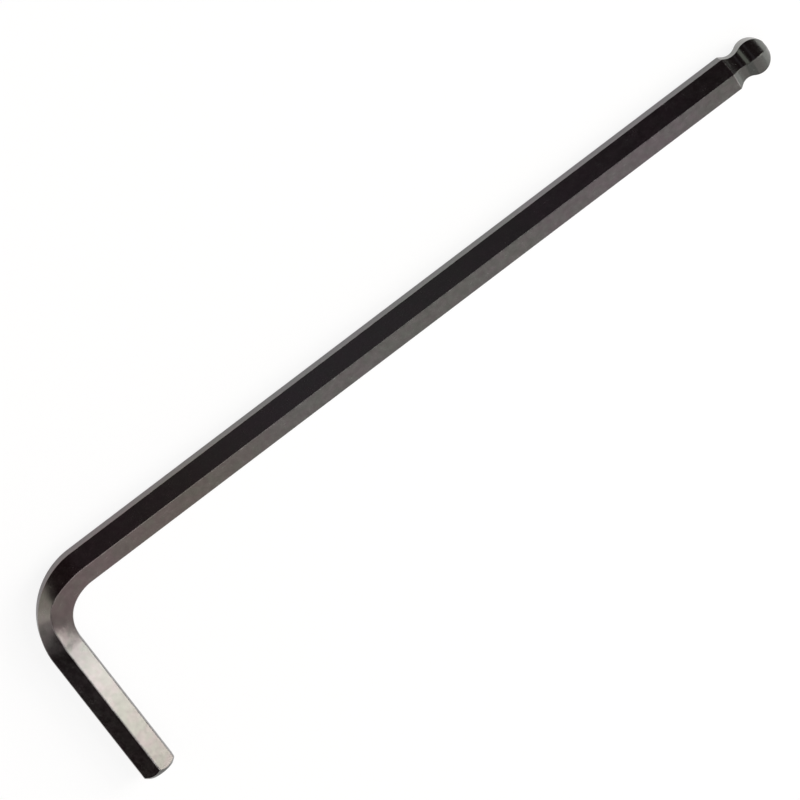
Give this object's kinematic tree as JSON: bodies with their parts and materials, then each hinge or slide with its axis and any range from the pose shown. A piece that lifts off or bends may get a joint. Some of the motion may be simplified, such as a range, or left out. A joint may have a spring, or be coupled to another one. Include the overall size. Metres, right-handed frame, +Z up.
{
  "type": "ball-end hex key",
  "caption": "L-shaped hexagonal steel key with a rounded ball drive on the long arm and a flat chamfered drive on the short arm.",
  "frame": {"origin": "at floor level, under the middle of the box that holds the key as it lies flat", "axes": "+X along the long arm towards the ball, -Y along the short arm away from the bend, +Z up"},
  "size_m": [0.153, 0.0386, 0.0068],
  "materials": {
    "dark_steel": "satin dark oxide"
  },
  "bodies": {
    "root": {"hex_key": "dark_steel"}
  },
  "joints": []
}
